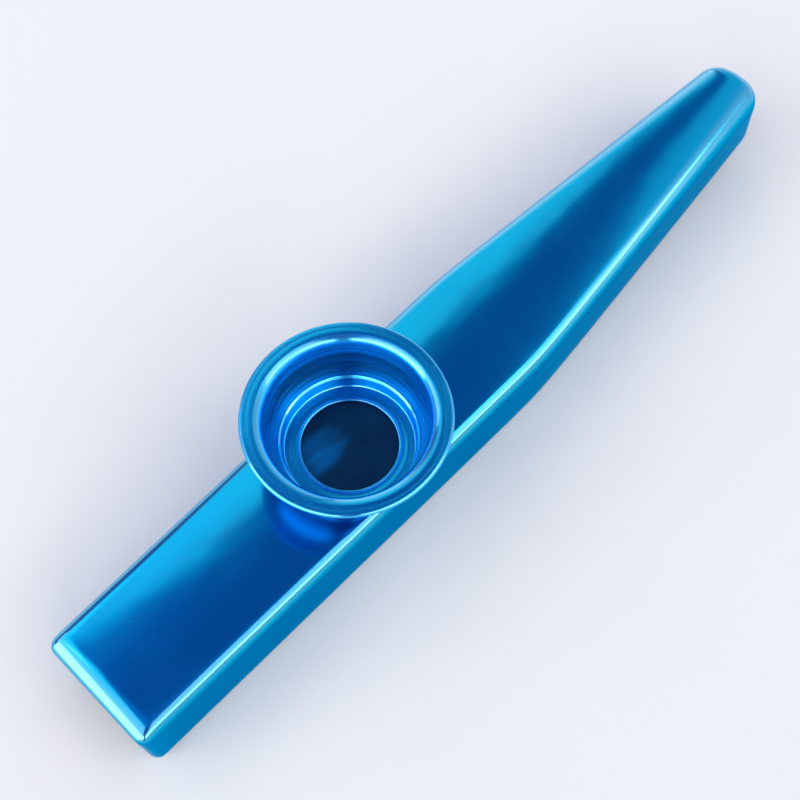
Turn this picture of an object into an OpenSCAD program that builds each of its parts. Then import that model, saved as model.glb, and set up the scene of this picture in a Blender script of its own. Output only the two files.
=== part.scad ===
// A metal kazoo. The body is two pressed sheet-metal shells, wide and low at the mouth end and
// narrow and rounder at the outlet. A flared cap screws into a collar on top and clamps a film.
// +X runs from the mouth end to the outlet, +Z is up, and the origin is on the ground in the middle.

/* [Body outline] */
// Length from the mouth end to the outlet end
body_l = 120; // [110:1:135]
// Width of the mouth end
mouth_w = 17.3; // [16.5:0.1:19]
// Width at the widest place
widest_w = 19.1; // [18.2:0.1:22]
// Distance from the mouth end to the widest place
widest_at = 66.5; // [60:0.5:76]
// Width of the outlet end
outlet_w = 9.4; // [9:0.1:12]
// Rounding of the plan at its widest place, taken off both sides together
widest_softness = 0.35; // [0.1:0.05:1]
// Height of the top edges at the mouth end
mouth_h = 10.3; // [9.6:0.1:12]
// Height of the top edges at the widest place
widest_h = 10.6; // [10:0.1:12.5]
// Height of the top edges at the outlet end
outlet_h = 13.7; // [12.8:0.1:15]
// Rise of the underside at the outlet end
outlet_lift = 2.2; // [1.6:0.1:2.8]
// Rise of the middle of the top face above its edges
crown = 0.4; // [0.2:0.05:0.7]
// Lean of each side wall from its foot to its top edge
wall_lean = 0.2; // [0:0.05:0.4]

/* [Sheet and edges] */
// Thickness of the sheet metal
sheet_t = 0.7; // [0.5:0.05:0.8]
// Radius of the top edges from the mouth end to the widest place
mouth_edge_r = 1.7; // [1.3:0.1:2]
// Radius of the top edges at the outlet end
outlet_edge_r = 3.4; // [2.6:0.1:3.6]
// Radius of the bottom edges from the mouth end to the widest place
mouth_foot_r = 1.8; // [1.4:0.1:2.2]
// Radius of the bottom edges at the outlet end
outlet_foot_r = 3; // [2.4:0.1:3.2]
// Width of the hem that the upper shell turns under the lower one
hem_w = 3.6; // [3.5:0.1:3.9]
// Length over which the top droops to the mouth slot
droop_l = 2.7; // [2.5:0.1:3.2]
// Angle at which that droop ends in a tight lip
droop_angle = 43; // [38:1:46]
// Radius of the curl beside and below the mouth slot
mouth_side_r = 1.3; // [1.2:0.05:1.6]
// Radius of the curl round the outlet
nose_r = 3; // [2.9:0.1:3.1]
// Radius of the round outlet
outlet_r = 3.1; // [3.05:0.05:3.3]

/* [Lower shell] */
// Height of the lower shell's upturned walls
tray_h = 4; // [3.4:0.1:5]
// Gap between the two shells
seam_gap = 0.1; // [0.05:0.01:0.15]

/* [Turret collar] */
// Distance from the mouth end to the middle of the turret
turret_at = 41; // [38:0.5:50]
// Gap between the collar's shoulder and the body's side walls
collar_side_gap = 0.45; // [0.35:0.01:0.6]
// Height of the shoulder
shoulder_h = 1; // [0.6:0.05:1]
// Overlap of the shoulder under the sheet
shoulder_lap = 0.65; // [0.4:0.05:0.8]
// Gap round the collar in the upper shell's hole
collar_gap = 0.02; // [0.01:0.01:0.04]
// Wall of the collar outside its thread
collar_wall = 0.4; // [0.3:0.02:0.5]
// Thickness of the ledge that carries the membrane ring
ledge_t = 0.6; // [0.5:0.05:0.8]

/* [Turret cap] */
// Running gap between the spigot's thread and the collar's
thread_gap = 0.05; // [0.03:0.01:0.08]
// Wall of the threaded spigot below the neck
spigot_wall = 0.45; // [0.4:0.02:0.55]
// Length of the spigot below the neck
spigot_l = 1.6; // [1.2:0.05:1.7]
// Gap between the neck and the middle of the top face
seat_gap = 0.1; // [0.06:0.01:0.2]
// Width of the face that clamps the membrane ring
clamp_w = 0.35; // [0.25:0.01:0.45]
// Drop of that face below the neck's seat
clamp_drop = 0.1; // [0.05:0.01:0.15]
// Height of the throat's lip above the neck's seat
lip_h = 0.6; // [0.55:0.01:0.7]
// Radius of the lip's own section
lip_r = 0.25; // [0.2:0.01:0.27]
// Width of the shallow shoulder between the throat and the well
slope_w = 2.15; // [1.9:0.05:2.6]
// Rise of that shoulder from the foot of the throat's lip
slope_h = 0.15; // [0.1:0.01:0.3]
// Height of the steep wall of the well
well_h = 1.8; // [1.6:0.05:2]
// Lean of the well's wall from its foot to its top
well_lean = 0.15; // [0.1:0.01:0.2]
// Width of the rounded step between the well and the bowl
step_w = 0.3; // [0.2:0.02:0.4]
// Rise of that step
step_h = 0.2; // [0.15:0.01:0.25]
// Height of the bowl, from its foot to the top of the rim
bowl_h = 6.45; // [6:0.05:7]
// Width of the bowl's flare, from its foot to the middle of the roll at its mouth
bowl_w = 2.55; // [2.45:0.05:2.65]
// Radius of the roll between the bowl and the flat brim
roll_r = 1.25; // [1.1:0.05:1.35]
// Lean of the bowl's wall where it meets that roll
roll_lean = 20; // [18:1:24]
// Width of the flat brim outside the middle of the roll
brim_w = 1.4; // [1.3:0.05:1.8]
// Radius of the rounded outer edge of the rim
rim_edge_r = 0.38; // [0.3:0.02:0.45]
// Wall between the well and the neck, the widest part of the cup's rounded foot
neck_wall = 1.25; // [1.2:0.05:1.5]
// Height at which the flare leaves the neck
neck_h = 2.2; // [2.15:0.05:2.4]
// Height of the neck's rounded foot
foot_h = 2.1; // [1.9:0.05:2.1]
// Narrowing of the neck's rounded foot where it meets the body
foot_in = 1.75; // [1.6:0.05:1.8]
// Width of the brim's flat underside
under_w = 1.5; // [1.2:0.05:1.6]
// Thickness of the brim where the flare's underside meets it
brim_t = 1.35; // [1.2:0.05:1.5]

/* [Membrane] */
// Gap between the membrane ring and the spigot's bore
ring_gap = 0.1; // [0.06:0.01:0.15]
// Height of the membrane ring
ring_h = 1.6; // [1.4:0.05:1.8]
// Wall of the membrane ring
ring_wall = 0.7; // [0.5:0.05:0.75]
// Thickness of the film
film_t = 0.12; // [0.1:0.01:0.2]
// Gap between the film and the throat's clamping face
film_gap = 0.05; // [0.02:0.01:0.08]

/* [Hidden] */

// Smoothness of the turned pieces
$fn = 96;
// Number of steps in each part of the pressed shells
lip_steps = 3;
droop_steps = 7;
barrel_steps = 25;
nose_steps = 7;
edge_steps = 5;
foot_steps = 4;
crown_steps = 3;
// How quickly the top and the underside rise behind the widest place
rise_power = 1.3;
// The tightest radius that the sheet is pressed to
least_r = 0.35;
// Small chamfers of the turned pieces
chamfer = 0.15;
// Overrun that lets a cut pass clear through a wall
overrun = 2;
// Places along the body
mouth_x = -body_l / 2;
outlet_x = body_l / 2;
widest_x = mouth_x + widest_at;
turret_x = mouth_x + turret_at;
// Colours
blue = [0.02, 0.36, 0.68];
deep_blue = [0.05, 0.25, 0.62];
under_blue = [0.03, 0.3, 0.58];
film_teal = [0.05, 0.2, 0.34];
ring_white = [0.85, 0.87, 0.88];

// The plan: the body widens slowly to its widest place and then tapers, with a soft corner there
function widening(x) = (mouth_w + (widest_w - mouth_w) * (x - mouth_x) / widest_at) / 2;
function taper(x) = (widest_w - (widest_w - outlet_w) * (x - widest_x) / (outlet_x - widest_x)) / 2;
function half_w(x) =
    (widening(x) + taper(x) - sqrt(pow(widening(x) - taper(x), 2) + pow(widest_softness, 2))) / 2;

// The side view: level to the widest place, then both the underside and the top rise to the outlet
function rise_share(x) = x < widest_x ? 0 : pow((x - widest_x) / (outlet_x - widest_x), rise_power);
function foot_z(x) = outlet_lift * rise_share(x);
function edge_z(x) = x < widest_x
    ? mouth_h + (widest_h - mouth_h) * (x - mouth_x) / widest_at
    : widest_h + (outlet_h - widest_h) * rise_share(x);
function edge_r(x) = mouth_edge_r + (outlet_edge_r - mouth_edge_r) * rise_share(x);
function foot_r(x) = mouth_foot_r + (outlet_foot_r - mouth_foot_r) * rise_share(x);

// Half of the top of a cross-section, inset by side and by rise: the edge's arc, then the crown
function top_r(x, inset) = max(edge_r(x) - inset, least_r);
function arc_y(x, side, inset) = half_w(x) - side - wall_lean - top_r(x, inset);
function crown_angle(x, side, inset) =
    atan(4 * crown * (half_w(x) - side) / widest_w / arc_y(x, side, inset));
function crown_y(x, side, inset) =
    arc_y(x, side, inset) + top_r(x, inset) * sin(crown_angle(x, side, inset));
function crown_z(x, side, rise, y) =
    let (inset = max(side, rise), a = crown_angle(x, side, inset), reach = crown_y(x, side, inset))
    edge_z(x) - rise - top_r(x, inset) * (1 - cos(a)) + reach * tan(a) / 2 * (1 - pow(y / reach, 2));
function top_half(x, side, rise) =
    let (inset = max(side, rise), r = top_r(x, inset), cy = arc_y(x, side, inset),
         cz = edge_z(x) - rise - r, sweep = 90 - crown_angle(x, side, inset),
         reach = crown_y(x, side, inset))
    concat(
        [for (i = [0 : edge_steps]) let (a = sweep * i / edge_steps) [cy + r * cos(a), cz + r * sin(a)]],
        [for (i = [1 : crown_steps]) let (y = reach * (1 - i / crown_steps)) [y, crown_z(x, side, rise, y)]]
    );

// Half of the foot of a cross-section, from under the body round the bottom edge to the side wall
function foot_half(x, side) =
    let (r = max(foot_r(x) - side, least_r), cy = half_w(x) - side - r, cz = foot_z(x) + side + r)
    [for (i = [0 : foot_steps]) let (a = -90 + 90 * i / foot_steps) [cy + r * cos(a), cz + r * sin(a)]];

// The whole path of each shell across the body, from its right edge to its left one
function both_sides(half) =
    concat(half, [for (i = [len(half) - 2 : -1 : 0]) [-half[i][0], half[i][1]]]);
function upper_path(x, side, rise) = both_sides(concat(
    [[half_w(x) - hem_w, foot_z(x) + side]],
    foot_half(x, side),
    top_half(x, side, rise)
));
function lower_path(x, side, rise) =
    let (foot = foot_half(x, side), wall_y = half_w(x) - side - wall_lean * tray_h / edge_z(x))
    both_sides(concat(
        [[wall_y, foot_z(x) + tray_h]],
        [for (i = [foot_steps : -1 : 0]) foot[i]],
        [[0, foot_z(x) + side]]
    ));

// Stations along a surface that lies a depth inside the body's skin. Each is its place along the body,
// its inset beside and below, and its inset above. Both ends curl inwards on quarter circles, but
// above the mouth slot the top droops on a long arc and then turns down in a tight lip.
function bend(r, depth) = max(r - depth, least_r);
function curl(r, t) = t < r ? r - sqrt(r * r - (r - t) * (r - t)) : 0;
function droop_bend(depth) = (droop_l - depth - least_r * (1 - sin(droop_angle))) / sin(droop_angle);
function droop_station(depth, a) =
    let (b = droop_bend(depth), c = min(a, droop_angle),
         t = a > c ? least_r * (1 - sin(a)) : droop_l - depth - b * sin(a),
         fall = b * (1 - cos(c)) + least_r * (cos(c) - cos(a)))
    [mouth_x + depth + t, depth + curl(bend(mouth_side_r, depth), t), depth + fall];
function stations(depth) = concat(
    [for (i = [lip_steps : -1 : 1])
        droop_station(depth, droop_angle + (90 - droop_angle) * i / lip_steps)],
    [for (i = [droop_steps : -1 : 1]) droop_station(depth, droop_angle * i / droop_steps)],
    [for (i = [0 : barrel_steps])
        let (from = mouth_x + droop_l, to = outlet_x - nose_r)
        [from + (to - from) * i / barrel_steps, depth, depth]],
    [for (i = [1 : nose_steps])
        let (b = bend(nose_r, depth), t = b * (1 - sin(90 * i / nose_steps)), inset = depth + curl(b, t))
        [outlet_x - depth - t, inset, inset]]
);
function skin(path, x) = [for (p = path) [x, p[0], p[1]]];

// A sheet of metal between an outer and an inner grid of points
module sheet(outer, inner) {
    rows = len(outer);
    cols = len(outer[0]);
    inside = rows * cols;
    function at(i, j) = i * cols + j;
    points = concat([for (row = outer) each row], [for (row = inner) each row]);
    outer_faces = [for (i = [0 : rows - 2]) for (j = [0 : cols - 2])
        [at(i, j), at(i + 1, j), at(i + 1, j + 1), at(i, j + 1)]];
    inner_faces = [for (i = [0 : rows - 2]) for (j = [0 : cols - 2])
        [inside + at(i, j), inside + at(i, j + 1), inside + at(i + 1, j + 1), inside + at(i + 1, j)]];
    side_faces = [for (i = [0 : rows - 2]) each [
        [at(i + 1, 0), at(i, 0), inside + at(i, 0), inside + at(i + 1, 0)],
        [at(i, cols - 1), at(i + 1, cols - 1), inside + at(i + 1, cols - 1), inside + at(i, cols - 1)]
    ]];
    end_faces = [for (j = [0 : cols - 2]) each [
        [at(0, j), at(0, j + 1), inside + at(0, j + 1), inside + at(0, j)],
        [at(rows - 1, j + 1), at(rows - 1, j), inside + at(rows - 1, j), inside + at(rows - 1, j + 1)]
    ]];
    polyhedron(points, concat(outer_faces, inner_faces, side_faces, end_faces), convexity = 8);
}

// The round outlet, cut through both shells
module outlet_bore() {
    middle_z = (foot_z(outlet_x) + edge_z(outlet_x)) / 2;
    translate([outlet_x - nose_r - overrun, 0, middle_z])
        rotate([0, 90, 0])
            cylinder(r = outlet_r, h = nose_r + 2 * overrun);
}

module upper_shell() color(blue) difference() {
    sheet(
        [for (s = stations(0)) skin(upper_path(s[0], s[1], s[2]), s[0])],
        [for (s = stations(sheet_t)) skin(upper_path(s[0], s[1], s[2]), s[0])]
    );
    translate([turret_x, 0, deck_z - overrun])
        cylinder(r = collar_r + collar_gap, h = 2 * overrun);
    outlet_bore();
}

module lower_shell() color(under_blue) difference() {
    sheet(
        [for (s = stations(sheet_t + seam_gap)) skin(lower_path(s[0], s[1], s[2]), s[0])],
        [for (s = stations(2 * sheet_t + seam_gap)) skin(lower_path(s[0], s[1], s[2]), s[0])]
    );
    outlet_bore();
}

// Heights in the turret, all worked out from the middle of the top face there
deck_z = crown_z(turret_x, 0, 0, 0);
seat_z = deck_z + seat_gap;
film_z = seat_z - clamp_drop - film_gap - film_t;
ledge_z = film_z - ring_h;

// Radii in the turret, worked out from the body's side walls inwards to the throat
shoulder_r = half_w(turret_x) - sheet_t - wall_lean - collar_side_gap;
collar_r = shoulder_r - shoulder_lap;
bore_r = collar_r - collar_wall;
spigot_r = bore_r - thread_gap;
spigot_bore_r = spigot_r - spigot_wall;
ring_r = spigot_bore_r - ring_gap;
throat_r = spigot_bore_r - clamp_w;

// Radii of the cup, worked out from the throat outwards to the rim
well_r = throat_r + slope_w;
bowl_foot_r = well_r + well_lean + step_w;
roll_at_r = bowl_foot_r + bowl_w;
rim_r = roll_at_r + brim_w;
neck_r = well_r + neck_wall;
flare_r = rim_r - under_w;

// Heights of the cup above the neck's seat
well_z = lip_h - lip_r + slope_h;
bowl_z = well_z + well_h;
rim_z = bowl_z + bowl_h;

// Points along an arc round (r, z), for the sections of the turned pieces
function arc(r, z, wide, high, from, to, steps) =
    [for (i = [0 : steps]) let (a = from + (to - from) * i / steps) [r + wide * cos(a), z + high * sin(a)]];

// The bowl's wall is an arc that ends at the roll with the roll's own lean
bowl_end_r = roll_at_r - roll_r * cos(roll_lean);
bowl_end_z = rim_z - roll_r + roll_r * sin(roll_lean);
bowl_lean = 2 * atan((bowl_end_r - bowl_foot_r) / (bowl_end_z - bowl_z)) - roll_lean;
bowl_bend = norm([bowl_end_r - bowl_foot_r, bowl_end_z - bowl_z]) / 2 / sin((roll_lean - bowl_lean) / 2);

// The flare's underside is an arc that leaves the neck straight up and ends under the brim
flare_rise = rim_z - brim_t - neck_h;
flare_out = flare_r - neck_r;
flare_bend = (pow(flare_rise, 2) + pow(flare_out, 2)) / (2 * flare_out);
flare_end = 180 - asin(flare_rise / flare_bend);

// Section of the cap, with heights counted from the neck's seat
cap_section = concat(
    [[throat_r, -clamp_drop]],
    arc(throat_r + lip_r, lip_h - lip_r, lip_r, lip_r, 180, 0, 6),
    [[well_r - chamfer, well_z - chamfer / 2]],
    [[well_r, well_z + chamfer / 2]],
    [[bowl_foot_r - step_w, bowl_z - step_h]],
    arc(bowl_end_r + bowl_bend * cos(roll_lean), bowl_end_z - bowl_bend * sin(roll_lean),
        bowl_bend, bowl_bend, 180 - bowl_lean, 180 - roll_lean, 6),
    arc(roll_at_r, rim_z - roll_r, roll_r, roll_r, 165 - roll_lean, 90, 6),
    arc(rim_r - rim_edge_r, rim_z - rim_edge_r, rim_edge_r, rim_edge_r, 90, -75, 8),
    arc(neck_r + flare_bend, neck_h, flare_bend, flare_bend, flare_end, 180, 10),
    arc(neck_r - foot_in, foot_h, foot_in, foot_h, 0, -90, 8),
    [[spigot_r, 0]],
    [[spigot_r, chamfer - spigot_l]],
    [[spigot_r - chamfer, -spigot_l]],
    [[spigot_bore_r, -spigot_l]],
    [[spigot_bore_r, -clamp_drop]]
);

module turret_cap() color(deep_blue)
    translate([turret_x, 0, seat_z])
        rotate_extrude()
            polygon(cap_section);

module turret_collar() color(under_blue) {
    bottom_z = ledge_z - ledge_t;
    ledge_r = ring_r - ring_wall;
    translate([turret_x, 0, 0])
        rotate_extrude()
            polygon([
                [ledge_r, bottom_z],
                [shoulder_r, bottom_z],
                [shoulder_r, bottom_z + shoulder_h],
                [collar_r, bottom_z + shoulder_h],
                [collar_r, deck_z],
                [bore_r, deck_z],
                [bore_r, ledge_z],
                [ledge_r, ledge_z]
            ]);
}

module membrane_ring() color(ring_white)
    translate([turret_x, 0, ledge_z])
        difference() {
            cylinder(r = ring_r, h = ring_h);
            translate([0, 0, -overrun])
                cylinder(r = ring_r - ring_wall, h = ring_h + 2 * overrun);
        }

module membrane() color(film_teal)
    translate([turret_x, 0, film_z])
        cylinder(r = ring_r, h = film_t);

upper_shell();
lower_shell();
turret_collar();
membrane_ring();
membrane();
turret_cap();
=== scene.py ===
import math

import bpy
from mathutils import Matrix, Vector


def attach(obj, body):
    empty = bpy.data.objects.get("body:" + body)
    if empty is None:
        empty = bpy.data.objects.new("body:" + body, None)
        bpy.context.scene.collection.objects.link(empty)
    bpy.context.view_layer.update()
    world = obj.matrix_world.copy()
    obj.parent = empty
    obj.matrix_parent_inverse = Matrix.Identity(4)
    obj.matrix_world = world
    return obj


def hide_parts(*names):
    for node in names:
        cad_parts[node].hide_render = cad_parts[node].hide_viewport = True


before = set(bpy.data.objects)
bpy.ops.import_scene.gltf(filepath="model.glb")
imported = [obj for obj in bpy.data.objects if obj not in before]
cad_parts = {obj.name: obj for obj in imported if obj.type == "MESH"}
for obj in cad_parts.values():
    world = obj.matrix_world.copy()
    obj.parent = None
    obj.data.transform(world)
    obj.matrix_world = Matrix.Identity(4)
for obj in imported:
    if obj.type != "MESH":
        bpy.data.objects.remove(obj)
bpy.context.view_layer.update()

# The upper shell: one long pressing in aluminium sheet, 0.7 mm thick, dyed blue and sealed glossy.
# Its walls run down to the ground and turn in under the body as a hem. Both ends curl inwards:
# to the flat mouth slot at the wide end and to the round outlet at the narrow, raised end.
body_length = 120
mouth_width, widest_width, outlet_width = 17.3, 19.1, 9.4
widest_at, widest_softness = 66.5, 0.35
mouth_height, widest_height, outlet_height = 10.3, 10.6, 13.7
outlet_lift, rise_power = 2.2, 1.3
crown, wall_lean, sheet = 0.4, 0.2, 0.7
top_edges, foot_edges = (1.7, 3.4), (1.8, 3)
droop_length, droop_angle = 2.7, math.radians(43)
mouth_side_curl, nose_curl = 1.3, 3
hem, outlet_radius, tightest = 3.6, 3.1, 0.35
turret_x = 41 - body_length / 2
mouth_x, outlet_x = -body_length / 2, body_length / 2
widest_x = mouth_x + widest_at
hole_radius, hole_corners, punch_height = 7.22, 190, 3
hem_steps, foot_steps, wall_steps, corner_steps, crown_steps = 4, 10, 6, 14, 16
lip_steps, droop_steps, body_steps, nose_steps, nose_rows = 8, 16, 150, 90, 20
wear_length, wear_columns, cut_edge, cut_angle = 1.2, 2, 0.14, math.radians(50)
sharp_angle = math.radians(38)


def half_width(x):
    widening = (mouth_width + (widest_width - mouth_width) * (x - mouth_x) / widest_at) / 2
    taper = (widest_width - (widest_width - outlet_width) * (x - widest_x) / (outlet_x - widest_x)) / 2
    return (widening + taper - math.hypot(widening - taper, widest_softness)) / 2


def rise(x):
    return max((x - widest_x) / (outlet_x - widest_x), 0) ** rise_power


def foot_height(x):
    return outlet_lift * rise(x)


def edge_height(x):
    if x < widest_x:
        return mouth_height + (widest_height - mouth_height) * (x - mouth_x) / widest_at
    return widest_height + (outlet_height - widest_height) * rise(x)


def along_arc(y, z, radius, start, end, steps):
    angles = [start + (end - start) * i / steps for i in range(steps + 1)]
    return [(y + radius * math.cos(a), z + radius * math.sin(a)) for a in angles]


def between(a, b, steps):
    return [tuple(p + (q - p) * i / steps for p, q in zip(a, b)) for i in range(1, steps)]


def top_of_section(x, side, above):
    inset = max(side, above)
    radius = max(top_edges[0] + (top_edges[1] - top_edges[0]) * rise(x) - inset, tightest)
    y = half_width(x) - side - wall_lean - radius
    slope = math.atan(4 * crown * (half_width(x) - side) / widest_width / y)
    z = edge_height(x) - above - radius
    reach, brow = y + radius * math.sin(slope), z + radius * math.cos(slope)
    points = along_arc(y, z, radius, 0, math.pi / 2 - slope, corner_steps)
    for i in range(1, crown_steps + 1):
        share = 1 - i / crown_steps
        points.append((reach * share, brow + reach * math.tan(slope) / 2 * (1 - share**2)))
    return points


def foot_of_section(x, side):
    radius = max(foot_edges[0] + (foot_edges[1] - foot_edges[0]) * rise(x) - side, tightest)
    y, z = half_width(x) - side - radius, foot_height(x) + side + radius
    return along_arc(y, z, radius, -math.pi / 2, 0, foot_steps)


def both_sides(half):
    return half + [(-y, z) for y, z in half[-2::-1]]


def upper_section(x, side, above):
    foot, top = foot_of_section(x, side), top_of_section(x, side, above)
    hem_edge = (half_width(x) - hem, foot_height(x) + side)
    hem_part, wall = between(hem_edge, foot[0], hem_steps), between(foot[-1], top[0], wall_steps)
    return both_sides([hem_edge] + hem_part + foot + wall + top)


def curled(radius, t):
    return radius - math.sqrt(radius**2 - (radius - t) ** 2) if t < radius else 0


def mouth_row(section, depth, angle):
    """A row at the mouth end. The top droops on a long arc and then turns down in a tight lip."""
    arc = (droop_length - depth - tightest * (1 - math.sin(droop_angle))) / math.sin(droop_angle)
    on_arc = min(angle, droop_angle)
    t = droop_length - depth - arc * math.sin(angle)
    if angle > droop_angle:
        t = tightest * (1 - math.sin(angle))
    fall = arc * (1 - math.cos(on_arc)) + tightest * (math.cos(on_arc) - math.cos(angle))
    x = mouth_x + depth + t
    side_curl = max(mouth_side_curl - depth, tightest)
    return [(x, *p) for p in section(x, depth + curled(side_curl, t), depth + fall)]


def sheet_layer(section, depth):
    """Rows of points over a pressed shell, at a depth inside the skin, cut by the round outlet."""
    lip_turn = math.pi / 2 - droop_angle
    angles = [droop_angle + lip_turn * i / lip_steps for i in range(lip_steps, 0, -1)]
    angles += [droop_angle * i / droop_steps for i in range(droop_steps, 0, -1)]
    rows = [mouth_row(section, depth, angle) for angle in angles]
    start, end = mouth_x + droop_length, outlet_x - nose_curl
    for i in range(body_steps + 1):
        x = start + (end - start) * i / body_steps
        rows.append([(x, *p) for p in section(x, depth, depth)])
    nose, axis = max(nose_curl - depth, tightest), (outlet_lift + outlet_height) / 2

    def nose_row(angle):
        t = nose * (1 - math.sin(angle))
        x = outlet_x - depth - t
        inset = depth + nose * (1 - math.cos(angle))
        return [(x, *p) for p in section(x, inset, inset)]

    fine = [nose_row(math.pi / 2 * i / nose_steps) for i in range(nose_steps + 1)]
    ends = []
    for line in zip(*fine):
        gap = [math.hypot(y, z - axis) - outlet_radius for x, y, z in line]
        i = next((i for i in range(1, nose_steps + 1) if gap[i] < 0), nose_steps)
        ends.append(i - 1 + min(gap[i - 1] / (gap[i - 1] - gap[i]), 1))
    for k in range(1, nose_rows + 1):
        row = []
        for line, last in zip(zip(*fine), ends):
            place = last * k / nose_rows
            i = min(int(place), nose_steps - 1)
            row.append(tuple(a + (b - a) * (place - i) for a, b in zip(line[i], line[i + 1])))
        rows.append(row)
    return rows


def mesh_object(name, points, faces, edges=None):
    """A smooth mesh from points in millimetres. The edges are how worn each point is likely to be."""
    mesh = bpy.data.meshes.new(name)
    mesh.from_pydata([tuple(c / 1000 for c in p) for p in points], [], faces)
    if edges:
        mesh.attributes.new("edge", "FLOAT", "POINT").data.foreach_set("value", edges)
    mesh.validate()
    mesh.shade_smooth()
    piece = bpy.data.objects.new(name, mesh)
    bpy.context.scene.collection.objects.link(piece)
    return piece


def settle(piece):
    """Keeps what the modifiers make, and marks the edges that are really sharp."""
    bpy.context.view_layer.update()
    mesh = bpy.data.meshes.new_from_object(piece.evaluated_get(bpy.context.evaluated_depsgraph_get()))
    piece.modifiers.clear()
    piece.data = mesh
    mesh.name = piece.name
    mesh.set_sharp_from_angle(angle=sharp_angle)


def pressed_shell(name, section, depth):
    """A closed shell of even wall between two layers of points, with its cut edges rounded."""
    outer, inner = sheet_layer(section, depth), sheet_layer(section, depth + sheet)
    rows, columns = len(outer), len(outer[0])
    points = [p for row in outer + inner for p in row]
    inside = rows * columns
    faces = []
    for i in range(rows - 1):
        for j in range(columns - 1):
            a = i * columns + j
            faces.append((a, a + columns, a + columns + 1, a + 1))
            b = a + inside
            faces.append((b, b + 1, b + columns + 1, b + columns))
    for i in range(rows - 1):
        a, b = i * columns, (i + 1) * columns - 1
        faces.append((a + columns, a, a + inside, a + columns + inside))
        faces.append((b, b + columns, b + columns + inside, b + inside))
    for j in range(columns - 1):
        a, b = j, (rows - 1) * columns + j
        faces.append((a, a + 1, a + 1 + inside, a + inside))
        faces.append((b + 1, b, b + inside, b + 1 + inside))
    wear = []
    for row in outer + inner:
        for j, (x, y, z) in enumerate(row):
            from_end = min(x - mouth_x, outlet_x - x)
            from_side = min(j, columns - 1 - j)
            wear.append(max(1 - from_end / wear_length, 1 - from_side / wear_columns, 0))
    piece = mesh_object(name, points, faces, wear)
    bevel = piece.modifiers.new("rounded sheet edges", "BEVEL")
    bevel.limit_method, bevel.angle_limit = "ANGLE", cut_angle
    bevel.width, bevel.segments = cut_edge / 1000, 2
    settle(piece)
    return piece


upper = pressed_shell("upper_shell_pressed", upper_section, 0)
deck = top_of_section(turret_x, 0, 0)[-1][1]
bpy.ops.mesh.primitive_cylinder_add(
    vertices=hole_corners,
    radius=hole_radius / 1000,
    depth=punch_height / 1000,
    location=(turret_x / 1000, 0, deck / 1000),
)
punch = bpy.context.object
hole = upper.modifiers.new("collar hole", "BOOLEAN")
hole.object, hole.operation, hole.solver = punch, "DIFFERENCE", "EXACT"
settle(upper)
bpy.data.objects.remove(punch)


def fill(tree, shader_node, links):
    """Links or sets a node's inputs, by name or number."""
    for key, value in links.items():
        if isinstance(value, bpy.types.NodeSocket):
            tree.links.new(value, shader_node.inputs[key])
        else:
            shader_node.inputs[key].default_value = value


def node(tree, kind, links=None, **settings):
    made = tree.nodes.new(kind)
    for key, value in settings.items():
        setattr(made, key, value)
    fill(tree, made, links or {})
    return made


def calc(tree, operation, a, b, c=0.0):
    return node(tree, "ShaderNodeMath", {0: a, 1: b, 2: c}, operation=operation).outputs[0]


def vector_calc(tree, operation, a, b):
    return node(tree, "ShaderNodeVectorMath", {0: a, 1: b}, operation=operation).outputs[0]


def distance(tree, vector):
    return node(tree, "ShaderNodeVectorMath", {0: vector}, operation="LENGTH").outputs["Value"]


def noise(tree, vector, scale, detail, roughness=0.5):
    """Cloudy noise between 0 and 1. The scale is the number of clouds in a metre."""
    links = {"Vector": vector, "Scale": scale, "Detail": detail, "Roughness": roughness}
    return node(tree, "ShaderNodeTexNoise", links).outputs["Fac"]


def ramp(tree, value, start, end, low=0.0, high=1.0, step="LINEAR"):
    """Low up to the start value, high from the end value, and a straight or smooth step between."""
    links = {0: value, 1: start, 2: end, 3: low, 4: high}
    return node(tree, "ShaderNodeMapRange", links, interpolation_type=step).outputs[0]


def blended(tree, share, first, second):
    return node(tree, "ShaderNodeMix", {0: share, 6: first, 7: second}, data_type="RGBA").outputs[2]


def bumped(tree, height, strength, depth, on_top_of=None):
    links = {"Height": height, "Strength": strength, "Distance": depth}
    if on_top_of:
        links["Normal"] = on_top_of
    return node(tree, "ShaderNodeBump", links).outputs[0]


def new_group(name, inputs, outputs):
    """A group of nodes with named inputs and their usual values, and outputs that are numbers."""
    group = bpy.data.node_groups.new(name, "ShaderNodeTree")
    for title, value in inputs.items():
        kind = "NodeSocketVector" if isinstance(value, tuple) else "NodeSocketFloat"
        socket = group.interface.new_socket(title, in_out="INPUT", socket_type=kind)
        socket.default_value = value
    for title in outputs:
        group.interface.new_socket(title, in_out="OUTPUT", socket_type="NodeSocketFloat")
    return group, group.nodes.new("NodeGroupInput").outputs, group.nodes.new("NodeGroupOutput").inputs


def placed(tree, group, links):
    return node(tree, "ShaderNodeGroup", links, node_tree=group).outputs


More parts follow.
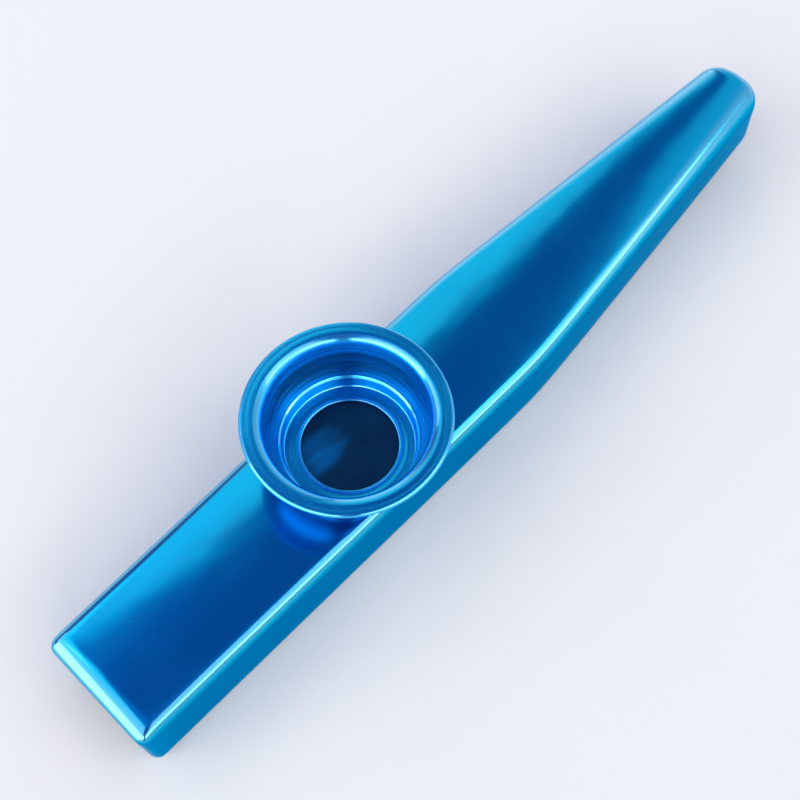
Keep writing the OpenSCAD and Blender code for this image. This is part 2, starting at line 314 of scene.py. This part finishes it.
# Fine marks of use: short hairline scratches in a few directions, and faint smudges.
marks, given, result = new_group(
    "Fine marks", {"Place": (0, 0, 0), "Hairlines": 0.5, "Smudges": 0.5}, ["Height", "Rough"]
)
slanted = node(marks, "ShaderNodeMapping", {0: given["Place"], "Rotation": (0.3, 0.2, 0.7)}).outputs[0]
lines = noise(marks, vector_calc(marks, "MULTIPLY", slanted, (60, 2600, 2600)), 1.0, 2.0)
some_places = ramp(marks, noise(marks, given["Place"], 160.0, 3.0), 0.5, 0.66)
hairs = calc(marks, "MULTIPLY", ramp(marks, lines, 0.66, 0.74), some_places)
hairs = calc(marks, "MULTIPLY", hairs, given["Hairlines"])
smudges = calc(marks, "MULTIPLY", noise(marks, given["Place"], 70.0, 4.0, 0.6), given["Smudges"])
marks.links.new(calc(marks, "MULTIPLY", hairs, -1.0), result["Height"])
marks.links.new(calc(marks, "ADD", hairs, smudges), result["Rough"])

# Worn edges: the dye is thin or rubbed off along lips and rims, in broken patches.
worn, given, result = new_group("Worn edges", {"Place": (0, 0, 0), "Edge": 0.0, "Amount": 0.5}, ["Mask"])
patches = calc(worn, "MULTIPLY", given["Edge"], noise(worn, given["Place"], 900.0, 4.0, 0.65))
rubbed_off = calc(worn, "MULTIPLY", ramp(worn, patches, 0.42, 0.62), given["Amount"])
worn.links.new(rubbed_off, result["Mask"])

# Lacquer: the clear seal is thickest on the rounded edges that face up, and thin on flats and walls.
# It is left off where the surface turns down from a given upward slant. The materials also use that
# mask to paint shade on walls and undersides, and painted light on the cup's steep bowl walls.
lacquer, given, result = new_group(
    "Lacquer", {"Flats": 0.05, "Walls": 0.0, "Down below": 0.1, "Clear above": 0.5}, ["Weight", "Facing down"]
)
facing = node(lacquer, "ShaderNodeTexCoord").outputs["Normal"]
upward = node(lacquer, "ShaderNodeSeparateXYZ", {0: facing}).outputs["Z"]
off_walls = ramp(lacquer, upward, 0.5, 0.75, given["Walls"], 1.0)
off_flats = ramp(lacquer, upward, 0.92, 0.985, 1.0, given["Flats"])
weight = calc(lacquer, "MULTIPLY", off_walls, off_flats)
turned_down = ramp(lacquer, upward, given["Down below"], given["Clear above"], 1.0, 0.0)
weight = calc(lacquer, "MULTIPLY", weight, calc(lacquer, "SUBTRACT", 1.0, turned_down))
lacquer.links.new(weight, result["Weight"])
lacquer.links.new(turned_down, result["Facing down"])

bare_metal = (0.5, 0.66, 0.78, 1)


def new_material(name):
    """A node material, with its shader and the place in the kazoo's own frame, in metres."""
    material = bpy.data.materials.new(name)
    material.use_nodes = True
    tree = material.node_tree
    place = node(tree, "ShaderNodeTexCoord").outputs["Object"]
    return material, tree, tree.nodes["Principled BSDF"], place


def rubbed(tree, place, tint, amount):
    """The tint, with bare metal where the edges that the mesh marks are rubbed."""
    edge = node(tree, "ShaderNodeAttribute", attribute_name="edge").outputs["Fac"]
    mask = placed(tree, worn, {"Place": place, "Edge": edge, "Amount": amount})["Mask"]
    return blended(tree, mask, tint, bare_metal)


def dyed_sheet(name, dye, deep_dye, painted_wall_tone, gloss):
    """Blue dyed and sealed aluminium sheet, drawn along its length and slightly wavy, with painted shade on
    its walls.
    """
    material, tree, shader, place = new_material(name)
    fine = placed(tree, marks, {"Place": place, "Hairlines": 0.35, "Smudges": 0.3})
    sealed = placed(tree, lacquer, {"Flats": 0.04, "Walls": 0.0, "Down below": 0.1, "Clear above": 0.5})
    tint = blended(tree, noise(tree, place, 45.0, 3.0, 0.55), dye, deep_dye)
    # Walls and faces turned down get the darker wall colour: painted shade.
    tint = blended(tree, sealed["Facing down"], tint, painted_wall_tone)
    grain = noise(tree, vector_calc(tree, "MULTIPLY", place, (40, 900, 900)), 1.0, 3.0)
    grain = bumped(tree, calc(tree, "MULTIPLY_ADD", grain, 0.12, fine["Height"]), 0.12, 0.00004)
    waves = noise(tree, vector_calc(tree, "MULTIPLY", place, (60, 110, 110)), 1.0, 2.0)
    fill(tree, shader, {
        "Base Color": rubbed(tree, place, tint, 0.2),
        "Metallic": 1.0,
        "Roughness": ramp(tree, fine["Rough"], 0.0, 1.0, gloss, gloss + 0.3),
        "Normal": bumped(tree, waves, 1.0, 0.00011, grain),
        "Specular Tint": (0.25, 0.72, 0.95, 1),
        "Coat Weight": sealed["Weight"],
        "Coat Roughness": 0.04,
        "Coat IOR": 2.0,
    })
    return material


sheet_dye, sheet_deep_dye = (0.003, 0.46, 0.74, 1), (0.002, 0.41, 0.69, 1)
# The wall colour is painted shade on the shell's walls.
sheet_painted_wall_shade, sheet_gloss = (0.002, 0.25, 0.53, 1), 0.12
sheet_blue = dyed_sheet("dyed blue sheet", sheet_dye, sheet_deep_dye, sheet_painted_wall_shade, sheet_gloss)
upper.data.materials.clear()
upper.data.materials.append(sheet_blue)
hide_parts("upper_shell")
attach(upper, "body")

# The lower shell: a shallow tray of the same sheet that lies inside the hem and closes the body
# from below. Its walls stand 4 mm high against the inside of the upper shell.
tray_height, seam_gap = 4, 0.1
tray_wall_steps, tray_floor_steps = 4, 10
tray_dye, tray_deep_dye = (0.0, 0.24, 0.6, 1), (0.0, 0.2, 0.55, 1)
# The tray's wall colour is painted shade on its walls.
tray_painted_wall_shade, tray_gloss = (0.0, 0.17, 0.42, 1), 0.2


def lower_section(x, side, above):
    """A section of the tray. It has no top, so the depth of a top isn't used."""
    foot = foot_of_section(x, side)
    lean = wall_lean * tray_height / edge_height(x)
    wall_top = (half_width(x) - side - lean, foot_height(x) + tray_height)
    middle = (0, foot_height(x) + side)
    wall = [wall_top] + between(wall_top, foot[-1], tray_wall_steps)
    floor_part = between(foot[0], middle, tray_floor_steps) + [middle]
    return both_sides(wall + foot[::-1] + floor_part)


lower = pressed_shell("lower_shell_pressed", lower_section, sheet + seam_gap)
lower.data.flip_normals()
tray_blue = dyed_sheet("dyed blue tray", tray_dye, tray_deep_dye, tray_painted_wall_shade, tray_gloss)
lower.data.materials.append(tray_blue)
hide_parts("lower_shell")
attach(lower, "body")

# The turret collar: a small ring turned from aluminium bar, threaded inside and swaged into the
# hole of the upper shell. Its shoulder lies under the sheet and its ledge carries the film's ring.
collar_side_gap, shoulder_lap, collar_wall, thread_gap = 0.45, 0.65, 0.4, 0.05
spigot_wall, ring_gap, clamp_width, clamp_drop, seat_gap = 0.45, 0.1, 0.35, 0.1, 0.1
film, film_gap, ring_height, ring_wall, ledge, shoulder = 0.12, 0.05, 1.6, 0.7, 0.6, 1
shoulder_radius = half_width(turret_x) - sheet - wall_lean - collar_side_gap
collar_radius = shoulder_radius - shoulder_lap
bore_radius = collar_radius - collar_wall
spigot_radius = bore_radius - thread_gap
spigot_bore = spigot_radius - spigot_wall
ring_radius = spigot_bore - ring_gap
throat_radius = spigot_bore - clamp_width
seat = deck + seat_gap
film_z = seat - clamp_drop - film_gap - film
ledge_z = film_z - ring_height
thread_pitch, thread_depth, thread_end, thread_fade = 0.5, 0.16, 0.1, 0.2
collar_corner, collar_facet = 0.1, 0.05


def softened(outline, radius, steps=4):
    """Rounds each clear corner of a closed outline of (r, z, edge) points."""
    least_bend, most_of_side = math.radians(25), 0.45
    soft = []
    for i, here in enumerate(outline):
        before, after = Vector(outline[i - 1][:2]), Vector(outline[(i + 1) % len(outline)][:2])
        corner = Vector(here[:2])
        back, ahead = before - corner, after - corner
        bend = math.pi - back.angle(ahead)
        if bend < least_bend:
            soft.append(here)
            continue
        cut = min(radius * math.tan(bend / 2), back.length * most_of_side, ahead.length * most_of_side)
        a, b = corner + back.normalized() * cut, corner + ahead.normalized() * cut
        for k in range(steps + 1):
            t = k / steps
            p = a * (1 - t) ** 2 + corner * 2 * t * (1 - t) + b * t**2
            soft.append((p.x, p.y, here[2]))
    return soft


def subdivided(outline, longest):
    fine = []
    for i, a in enumerate(outline):
        b = outline[(i + 1) % len(outline)]
        steps = max(1, math.ceil(math.hypot(a[0] - b[0], a[1] - b[1]) / longest))
        fine += [tuple(p + (q - p) * k / steps for p, q in zip(a, b)) for k in range(steps)]
    return fine


def on_wall(point, radius):
    return abs(point[0] - radius) < 1e-6


def turned_piece(name, outline, base_z, thread=None, around=288):
    """A piece turned round the turret's axis. A thread is (radius, lowest, highest, depth)."""
    points, wear = [], []
    for k in range(around):
        turn = 2 * math.pi * k / around
        for r, z, edge in outline:
            if thread and on_wall((r, z), thread[0]) and thread[1] <= z <= thread[2]:
                phase = (z / thread_pitch - k / around) % 1
                fade = min((z - thread[1]) / thread_fade, (thread[2] - z) / thread_fade, 1)
                r += thread[3] * (1 - abs(2 * phase - 1)) * fade
            points.append((turret_x + r * math.cos(turn), r * math.sin(turn), base_z + z))
            wear.append(edge)
    count = len(outline)
    faces = []
    for k in range(around):
        here, there = k * count, (k + 1) % around * count
        for i in range(count):
            following = (i + 1) % count
            faces.append((here + i, there + i, there + following, here + following))
    piece = mesh_object(name, points, faces, wear)
    piece.data.set_sharp_from_angle(angle=sharp_angle)
    return piece


ledge_radius = ring_radius - ring_wall
bottom = -ledge
top = deck - ledge_z
collar_outline = [
    (ledge_radius, bottom, 0.2),
    (shoulder_radius, bottom, 0.2),
    (shoulder_radius, bottom + shoulder, 0.2),
    (collar_radius, bottom + shoulder, 0.2),
    (collar_radius, top, 0.9),
    (bore_radius, top, 0.9),
    (bore_radius, 0, 0.2),
    (ledge_radius, 0, 0.4),
]
collar_outline = subdivided(softened(collar_outline, collar_corner), collar_facet)
collar_thread = (bore_radius, thread_end, top - thread_end, thread_depth)
collar = turned_piece("turret_collar_turned", collar_outline, ledge_z, collar_thread)


def turned_metal(name, dye, deep_dye, painted_wall_tone, painted_underside_shade, gloss, ring_depth):
    """Dyed aluminium turned on a lathe, with fine rings round the turret's axis, a painted tone on its steep
    walls and painted shade on faces turned down.
    """
    material, tree, shader, place = new_material(name)
    centred = vector_calc(tree, "SUBTRACT", place, (turret_x / 1000, 0, 0))
    radius = distance(tree, vector_calc(tree, "MULTIPLY", centred, (1, 1, 0)))
    height = node(tree, "ShaderNodeSeparateXYZ", {0: centred}).outputs["Z"]
    along_outline = node(tree, "ShaderNodeCombineXYZ", {0: radius, 1: height}).outputs[0]
    drift = vector_calc(tree, "MULTIPLY", centred, (0.004, 0.004, 0))
    rings_at = vector_calc(tree, "ADD", along_outline, drift)
    rings = noise(tree, rings_at, 9000.0, 3.0, 0.7)
    wide_rings = noise(tree, rings_at, 1100.0, 1.0)
    fine = placed(tree, marks, {"Place": place, "Hairlines": 0.4, "Smudges": 0.12})
    steep = placed(tree, lacquer, {"Down below": 0.6, "Clear above": 0.95})
    sealed = placed(tree, lacquer, {"Flats": 0.03, "Walls": 0.45, "Down below": -0.15, "Clear above": 0.15})
    tint = blended(tree, noise(tree, rings_at, 1200.0, 2.0), dye, deep_dye)
    # Steep walls take a painted tone: lighter on the cup as painted light, darker on the collar as painted
    # shade.
    tint = blended(tree, steep["Facing down"], tint, painted_wall_tone)
    # Faces turned down, such as the cup's underside and neck, get painted shade.
    tint = blended(tree, sealed["Facing down"], tint, painted_underside_shade)
    grooves = calc(tree, "MULTIPLY_ADD", rings, 0.25, fine["Rough"])
    turned = calc(tree, "MULTIPLY_ADD", wide_rings, 5.0, rings)
    fill(tree, shader, {
        "Base Color": rubbed(tree, place, tint, 0.08),
        "Metallic": 1.0,
        "Roughness": ramp(tree, grooves, 0.0, 1.0, gloss, gloss + 0.35),
        "Normal": bumped(tree, turned, ring_depth, 0.00003),
        "Specular Tint": (0.1, 0.5, 0.9, 1),
        "Coat Weight": sealed["Weight"],
        "Coat Roughness": 0.05,
        "Coat IOR": 2.0,
    })
    return material


# The underside colour is painted shade for faces turned down.
collar_dye, collar_deep_dye_and_wall_shade, painted_underside_shade = (0.0, 0.2, 0.55, 1), (0.0, 0.16, 0.5, 1), (0.0, 0.14, 0.45, 1)
# The collar's deeper dye is its random tone and also painted shade on its steep walls.
collar_dyes_and_painted_shade = (collar_dye, collar_deep_dye_and_wall_shade, collar_deep_dye_and_wall_shade, painted_underside_shade)
collar_gloss, collar_ring_depth = 0.22, 0.4
collar_blue = turned_metal("turned blue collar", *collar_dyes_and_painted_shade, collar_gloss, collar_ring_depth)
collar.data.materials.append(collar_blue)
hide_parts("turret_collar")
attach(collar, "body")

# The membrane ring: a small hoop moulded in white plastic that stretches the film. It drops into
# the collar.
ring_corner, ring_facet = 0.12, 0.3
ring_outline = [
    (ring_radius - ring_wall, 0, 0),
    (ring_radius, 0, 0),
    (ring_radius, ring_height, 0),
    (ring_radius - ring_wall, ring_height, 0),
]
ring_outline = subdivided(softened(ring_outline, ring_corner), ring_facet)
ring = turned_piece("membrane_ring_moulded", ring_outline, ledge_z)
ring_white, tree, shader, place = new_material("moulded white plastic")
flow = noise(tree, place, 400.0, 3.0)
fill(tree, shader, {
    "Base Color": blended(tree, flow, (0.8, 0.81, 0.8, 1), (0.72, 0.74, 0.74, 1)),
    "Roughness": ramp(tree, flow, 0.0, 1.0, 0.42, 0.6),
})
ring.data.materials.append(ring_white)
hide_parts("membrane_ring")
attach(ring, "film")

# The membrane: a dark glossy plastic film stretched over its ring, faintly wrinkled and sagging.
# One uneven patch of it is painted paler and bluer: a painted sheen of reflected light.
film_rows, film_around, film_sag, film_skin = 40, 144, 0.06, 0.1
film_points, film_faces = [(turret_x, 0, film_z + film - film_sag)], []
for i in range(1, film_rows + 1):
    r = ring_radius * i / film_rows
    sag = film_sag * max(1 - (r / ledge_radius) ** 2, 0)
    for k in range(film_around):
        turn = 2 * math.pi * k / film_around
        film_points.append((turret_x + r * math.cos(turn), r * math.sin(turn), film_z + film - sag))
for k in range(film_around):
    following = (k + 1) % film_around
    film_faces.append((0, 1 + k, 1 + following))
    for i in range(film_rows - 1):
        a, b = 1 + i * film_around + k, 1 + i * film_around + following
        film_faces.append((a, a + film_around, b + film_around, b))
film_piece = mesh_object("membrane_film", film_points, film_faces)
skin = film_piece.modifiers.new("film thickness", "SOLIDIFY")
skin.thickness, skin.offset = film_skin / 1000, -1
settle(film_piece)
film_dark, tree, shader, place = new_material("dark stretched film")
pulled = node(tree, "ShaderNodeMapping", {0: place, "Rotation": (0, 0, 0.9), "Scale": (500, 60, 60)})
wrinkle = noise(tree, pulled.outputs[0], 1.0, 2.0)
mottle = noise(tree, place, 260.0, 3.0)
shade = blended(tree, mottle, (0.002, 0.011, 0.04, 1), (0.003, 0.028, 0.075, 1))
# A paler, bluer patch painted into the film's colour: a painted sheen.
from_sheen = vector_calc(tree, "SUBTRACT", place, (turret_x / 1000 - 0.0035, 0.002, film_z / 1000))
from_sheen = distance(tree, vector_calc(tree, "MULTIPLY", from_sheen, (300, 560, 0)))
sheen_breakup = noise(tree, vector_calc(tree, "MULTIPLY", place, (110, 420, 0)), 1.0, 2.0)
from_sheen = calc(tree, "MULTIPLY_ADD", sheen_breakup, -1.9, from_sheen)
painted_sheen = ramp(tree, from_sheen, -1.2, 0.7, 0.85, 0.0, "SMOOTHSTEP")
fill(tree, shader, {
    "Base Color": blended(tree, painted_sheen, shade, (0.0, 0.19, 0.5, 1)),
    "Roughness": ramp(tree, mottle, 0.0, 1.0, 0.2, 0.4),
    "Normal": bumped(tree, wrinkle, 0.15, 0.0001),
    "Specular Tint": (0.1, 0.7, 1, 1),
})
film_piece.data.materials.append(film_dark)
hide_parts("membrane")
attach(film_piece, "film")

# The turret cap: a flared cup turned from aluminium, polished and dyed a deeper blue. Its bowl ends
# in a rounded roll and a flat brim. Below are a steep well, a shallow shoulder and a thin lip round
# the throat. The threaded spigot under it screws into the collar and clamps the film's ring.
lip_height, lip_radius, slope_width, slope_height = 0.6, 0.25, 2.15, 0.15
well_height, well_lean, step_width, step_height = 1.8, 0.15, 0.3, 0.2
bowl_height, bowl_width, roll_radius, roll_lean = 6.45, 2.55, 1.25, 20
brim_width, brim_edge, under_width, brim_thickness = 1.4, 0.38, 1.5, 1.35
neck_wall, neck_height, foot_rise, foot_narrowing = 1.25, 2.2, 2.1, 1.75
spigot_length, corner, polish = 1.6, 0.15, 0.005
cap_corner, cap_facet, thread_facets = 0.12, 0.25, 6
well_radius = throat_radius + slope_width
bowl_foot = well_radius + well_lean + step_width
roll_at = bowl_foot + bowl_width
rim_radius = roll_at + brim_width - polish
neck_radius = well_radius + neck_wall
well_z = lip_height - lip_radius + slope_height
bowl_z = well_z + well_height
rim_z = bowl_z + bowl_height - polish
tilt = math.radians(roll_lean)
bowl_end = (roll_at - roll_radius * math.cos(tilt), rim_z - roll_radius * (1 - math.sin(tilt)))
bowl_run, bowl_rise = bowl_end[0] - bowl_foot, bowl_end[1] - bowl_z
bowl_lean = 2 * math.degrees(math.atan(bowl_run / bowl_rise)) - roll_lean
bowl_bend = math.hypot(bowl_run, bowl_rise) / 2 / math.sin(math.radians(roll_lean - bowl_lean) / 2)
bowl_axis = (bowl_end[0] + bowl_bend * math.cos(tilt), bowl_end[1] - bowl_bend * math.sin(tilt))
flare_rise = rim_z - brim_thickness - neck_height
flare_out = rim_radius - under_width - neck_radius
flare_bend = (flare_rise**2 + flare_out**2) / (2 * flare_out)
flare_from = math.degrees(math.pi - math.asin(flare_rise / flare_bend))


def turned_arc(r, z, wide, high, start, end, steps, edge):
    angles = [math.radians(start + (end - start) * i / steps) for i in range(steps + 1)]
    return [(r + wide * math.cos(a), z + high * math.sin(a), edge) for a in angles]


cap_outline = (
    [(throat_radius, -clamp_drop, 0.1)]
    + turned_arc(throat_radius + lip_radius, lip_height - lip_radius, lip_radius, lip_radius, 180, 0, 14, 0.7)
    + [(well_radius - corner, well_z - corner / 2, 0.2), (well_radius, well_z + corner / 2, 0.2)]
    + [(bowl_foot - step_width, bowl_z - step_height, 0.2)]
    + turned_arc(*bowl_axis, bowl_bend, bowl_bend, 180 - bowl_lean, 180 - roll_lean, 24, 0.2)
    + turned_arc(roll_at, rim_z - roll_radius, roll_radius, roll_radius, 175 - roll_lean, 90, 20, 0.5)
    + turned_arc(rim_radius - brim_edge, rim_z - brim_edge, brim_edge, brim_edge, 90, -75, 18, 0.9)
    + turned_arc(neck_radius + flare_bend, neck_height, flare_bend, flare_bend, flare_from, 180, 28, 0.1)
    + turned_arc(neck_radius - foot_narrowing, foot_rise, foot_narrowing, foot_rise, 0, -90, 16, 0.2)
    + [(spigot_radius, 0, 0.2), (spigot_radius, corner - spigot_length, 0.6)]
    + [(spigot_radius - corner, -spigot_length, 0.6), (spigot_bore, -spigot_length, 0.3)]
    + [(spigot_bore, -clamp_drop, 0.2)]
)
cap_outline = subdivided(softened(cap_outline, cap_corner), cap_facet)
fine_outline = []
for i, a in enumerate(cap_outline):
    b = cap_outline[(i + 1) % len(cap_outline)]
    fine_outline.append(a)
    if on_wall(a, spigot_radius) and on_wall(b, spigot_radius):
        fine_outline += between(a, b, thread_facets)
cap_thread = (spigot_radius, thread_end - spigot_length, -thread_end / 2, -thread_depth)
cap = turned_piece("turret_cap_turned", fine_outline, seat, cap_thread)
# The cup's wall colour is lighter than its dye: painted light on the steep walls of the bowl.
cup_dye, cup_deep_dye, cup_painted_wall_light = (0.01, 0.46, 0.78, 1), (0.008, 0.41, 0.74, 1), (0.02, 0.56, 1, 1)
cup_dyes_and_painted_tones = (cup_dye, cup_deep_dye, cup_painted_wall_light, painted_underside_shade)
cup_gloss, cup_ring_depth = 0.14, 0.8
cup_blue = turned_metal("turned blue cup", *cup_dyes_and_painted_tones, cup_gloss, cup_ring_depth)
cap.data.materials.append(cup_blue)
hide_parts("turret_cap")
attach(cap, "cap")

# The stage: a plain pale floor, two soft lamps and the camera above the mouth end. The camera's
# place is worked out from where the middle of the cup's rim lies in the picture.
floor_size = 6
bpy.ops.mesh.primitive_plane_add(size=floor_size, location=(0, 0, 0))
floor = bpy.context.object
floor.name = "floor"
pale, tree, shader, place = new_material("pale floor")
fill(tree, shader, {"Base Color": (0.8, 0.8, 0.785, 1), "Roughness": 0.9})
floor.data.materials.append(pale)

camera_elevation, camera_roll = math.radians(63.45), math.radians(-1.573)
length_turn = math.radians(44.949)
picture_size, focal_pixels, depth_to_rim, rim_in_picture = 800, 1150, 132.133, (346.182, 414.821)
aside = Vector((1, 0, 0))
downward = Vector((0, -math.sin(camera_elevation), -math.cos(camera_elevation)))
forward = Vector((0, math.cos(camera_elevation), -math.sin(camera_elevation)))
cos_roll, sin_roll = math.cos(camera_roll), math.sin(camera_roll)
right = aside * cos_roll - downward * sin_roll
down_in_picture = aside * sin_roll + downward * cos_roll
rim_right, rim_down = [(pixel - picture_size / 2) / focal_pixels for pixel in rim_in_picture]
to_rim = (right * rim_right + down_in_picture * rim_down + forward) * depth_to_rim
turn = Matrix.Rotation(-length_turn, 3, "Z")
camera = bpy.data.objects.new("camera", bpy.data.cameras.new("camera"))
bpy.context.scene.collection.objects.link(camera)
place_of_camera = Vector((turret_x, 0, seat + rim_z)) - turn @ to_rim
axes = Matrix((turn @ right, turn @ -down_in_picture, turn @ -forward)).transposed()
camera.matrix_world = Matrix.Translation(place_of_camera / 1000) @ axes.to_4x4()
camera.data.sensor_width = 36
camera.data.lens = focal_pixels / picture_size * camera.data.sensor_width
camera.data.clip_start = 0.005
bpy.context.scene.camera = camera


def soft_lamp(name, direction, length_along, distance_away, size, power):
    """A flat lamp that faces the kazoo. Directions are in the picture: (right, away, up)."""
    lamp = bpy.data.lights.new(name, "AREA")
    lamp.shape, lamp.size, lamp.size_y = "RECTANGLE", size[0], size[1]
    lamp.energy = power
    holder = bpy.data.objects.new(name, lamp)
    bpy.context.scene.collection.objects.link(holder)
    toward = (turn @ Vector(direction)).normalized()
    across = toward.cross(turn @ Vector(length_along)).normalized()
    axes_of_lamp = Matrix((across.cross(toward), across, toward)).transposed()
    holder.matrix_world = Matrix.Translation(toward * distance_away) @ axes_of_lamp.to_4x4()


soft_lamp("ceiling tube", (0.33, -0.06, 0.94), (0.36, 0.93, 0), 1.0, (0.6, 0.07), 0.28)
soft_lamp("side window", (-0.72, 0.26, 0.64), (0.26, 0.72, 0), 0.9, (0.5, 0.5), 1.0)

# The room: two bright windows on the near side with a dark gap between them, a pale window far to
# the left, a softer pale wall to the right and a dim bluish ceiling with a lighter patch overhead.
# Directions are in the picture: (right, away, up).
room = bpy.data.worlds.new("studio")
bpy.context.scene.world = room
room.use_nodes = True
tree = room.node_tree
looking = node(tree, "ShaderNodeTexCoord").outputs["Generated"]
to_picture = {0: looking, "Rotation": (0, 0, length_turn)}
looking = node(tree, "ShaderNodeMapping", to_picture, vector_type="VECTOR").outputs[0]
along = node(tree, "ShaderNodeSeparateXYZ", {0: looking}).outputs


def fade(value, from_value, to_value):
    """0 up to one value, 1 from the other, and a soft step between."""
    return ramp(tree, value, from_value, to_value, 0.0, 1.0, "SMOOTHSTEP")


def both(first, second):
    return calc(tree, "MULTIPLY", first, second)


across, away, up = along["X"], along["Y"], along["Z"]
sideways = calc(tree, "ABSOLUTE", across, 0.0)
near_side = fade(calc(tree, "MULTIPLY_ADD", sideways, 0.4, away), 0.38, 0.3)
near_side = both(near_side, fade(sideways, 0.07, 0.18))
leaning = calc(tree, "SUBTRACT", up, both(across, 0.17))
above_sill = both(fade(leaning, 0.27, 0.34), near_side)
below_sill = both(fade(leaning, 0.34, 0.27), near_side)
upper_part = both(fade(up, 0.93, 0.89), fade(sideways, 0.18, 0.32))
windows = both(above_sill, calc(tree, "MAXIMUM", upper_part, fade(up, 0.7, 0.62)))
brightest = both(above_sill, fade(up, 0.65, 0.55))
far_left = both(fade(away, 0.35, 0.39), fade(across, 0.035, -0.005))
far_left = both(far_left, fade(across, -0.55, -0.36))
far_left = both(far_left, fade(calc(tree, "SUBTRACT", away, across), 0.55, 0.6))
overhead = both(fade(away, 0.08, 0.0), fade(away, -0.5, -0.35))
overhead = both(overhead, fade(sideways, 0.35, 0.25))
right_wall = fade(calc(tree, "MULTIPLY_ADD", away, 0.3, across), 0.34, 0.375)
right_wall = both(right_wall, fade(away, -0.3, -0.1))
left_ceiling = both(fade(across, -0.05, -0.4), fade(up, 0.7, 0.85))
low_down = fade(up, 0.4, 0.15)
light = (0.1, 0.11, 0.34)
for mask, colour in (
    (windows, (1.15, 1.1, 0.9)),
    (brightest, (2.5, 2.5, 2.1)),
    (far_left, (1.05, 0.95, 0.78)),
    (overhead, (0.02, 0.13, 0.25)),
    (right_wall, (0.48, 0.55, 0.48)),
    (left_ceiling, (0.03, 0.09, 0.25)),
    (below_sill, (0.55, 0.5, 0.35)),
    (low_down, (0.15, 0.19, 0.15)),
):
    links = {0: mask, 1: colour, 2: light}
    light = node(tree, "ShaderNodeVectorMath", links, operation="MULTIPLY_ADD").outputs[0]
seen = node(tree, "ShaderNodeLightPath").outputs["Is Camera Ray"]
shown = blended(tree, seen, light, (0.87, 0.9, 0.955, 1))
tree.links.new(shown, tree.nodes["Background"].inputs["Color"])
bpy.context.scene.view_settings.view_transform = "Standard"
